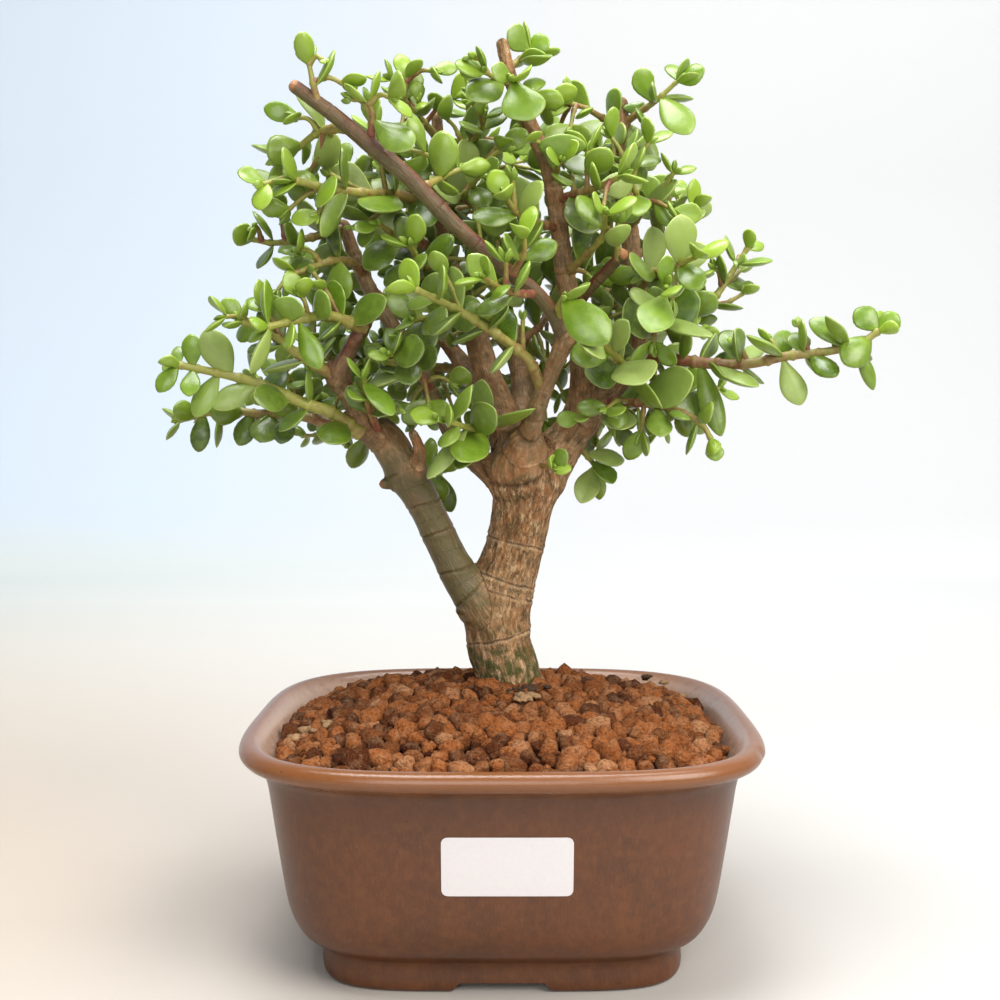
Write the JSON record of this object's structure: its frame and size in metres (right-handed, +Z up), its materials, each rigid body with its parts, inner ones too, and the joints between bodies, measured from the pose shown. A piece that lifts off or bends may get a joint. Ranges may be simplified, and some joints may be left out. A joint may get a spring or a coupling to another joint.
{
  "type": "potted dwarf jade bonsai",
  "caption": "Bonsai tree with a forked trunk and a rounded crown of small plump leaves, in a rounded square glazed pot of clay granules.",
  "frame": {"origin": "under the middle of the whole object's box, on the surface that the pot stands on", "axes": "+Z up; -Y towards the side that the picture shows, with the label; +X to its right"},
  "size_m": [0.2232, 0.1442, 0.278],
  "materials": {
    "glazed_pot": "satin brown glaze with fine vertical streaks and dark specks",
    "label_paper": "smooth white, blank",
    "clay_granules": "dull orange-brown porous clay granules",
    "bark": "dull flaky brown bark, smoother and greener on the limbs",
    "leaf": "softly glossy green, plump"
  },
  "bodies": {
    "root": {"pot": "glazed_pot", "blank_label": "label_paper", "soil": "clay_granules", "trunk_and_branches": "bark", "shoot_left_long": "leaf", "shoot_left_low": "leaf", "shoot_left_middle": "leaf", "shoot_left_upper": "leaf", "shoot_left_rear": "leaf", "shoot_left_inner": "leaf", "shoot_left_center": "leaf", "shoot_upper_left_1": "leaf", "shoot_upper_left_2": "leaf", "shoot_upper_left_3": "leaf", "shoot_left_shoulder": "leaf", "shoot_diagonal_end": "leaf", "shoot_diagonal_top": "leaf", "shoot_diagonal_upper": "leaf", "shoot_diagonal_middle": "leaf", "shoot_diagonal_base": "leaf", "shoot_top_left": "leaf", "shoot_top_center_left": "leaf", "shoot_inner_left_1": "leaf", "shoot_inner_left_2": "leaf", "shoot_inner_left_3": "leaf", "shoot_inner_left_4": "leaf", "shoot_center_yellow": "leaf", "shoot_center_front": "leaf", "shoot_leader_left": "leaf", "shoot_leader_right_1": "leaf", "shoot_leader_right_2": "leaf", "shoot_leader_front": "leaf", "shoot_top_left_leader": "leaf", "shoot_top_right_leader": "leaf", "shoot_top_front": "leaf", "shoot_right_top": "leaf", "shoot_right_top_left": "leaf", "shoot_right_upper": "leaf", "shoot_right_stub_sprig": "leaf", "shoot_right_middle_1": "leaf", "shoot_right_middle_2": "leaf", "shoot_far_right": "leaf", "shoot_right_long": "leaf", "shoot_right_low": "leaf", "shoot_right_front_1": "leaf", "shoot_right_front_2": "leaf", "shoot_below_fork": "leaf", "shoot_trunk_top": "leaf", "shoot_front_left": "leaf", "shoot_left_limb_side": "leaf", "shoot_rear_left_low": "leaf", "shoot_rear_left_top": "leaf", "shoot_rear_left_end": "leaf", "shoot_rear_middle_low": "leaf", "shoot_rear_middle": "leaf", "shoot_rear_middle_right": "leaf", "shoot_rear_top": "leaf", "shoot_rear_right_low": "leaf", "shoot_rear_right": "leaf", "shoot_rear_right_top": "leaf"}
  },
  "joints": []
}
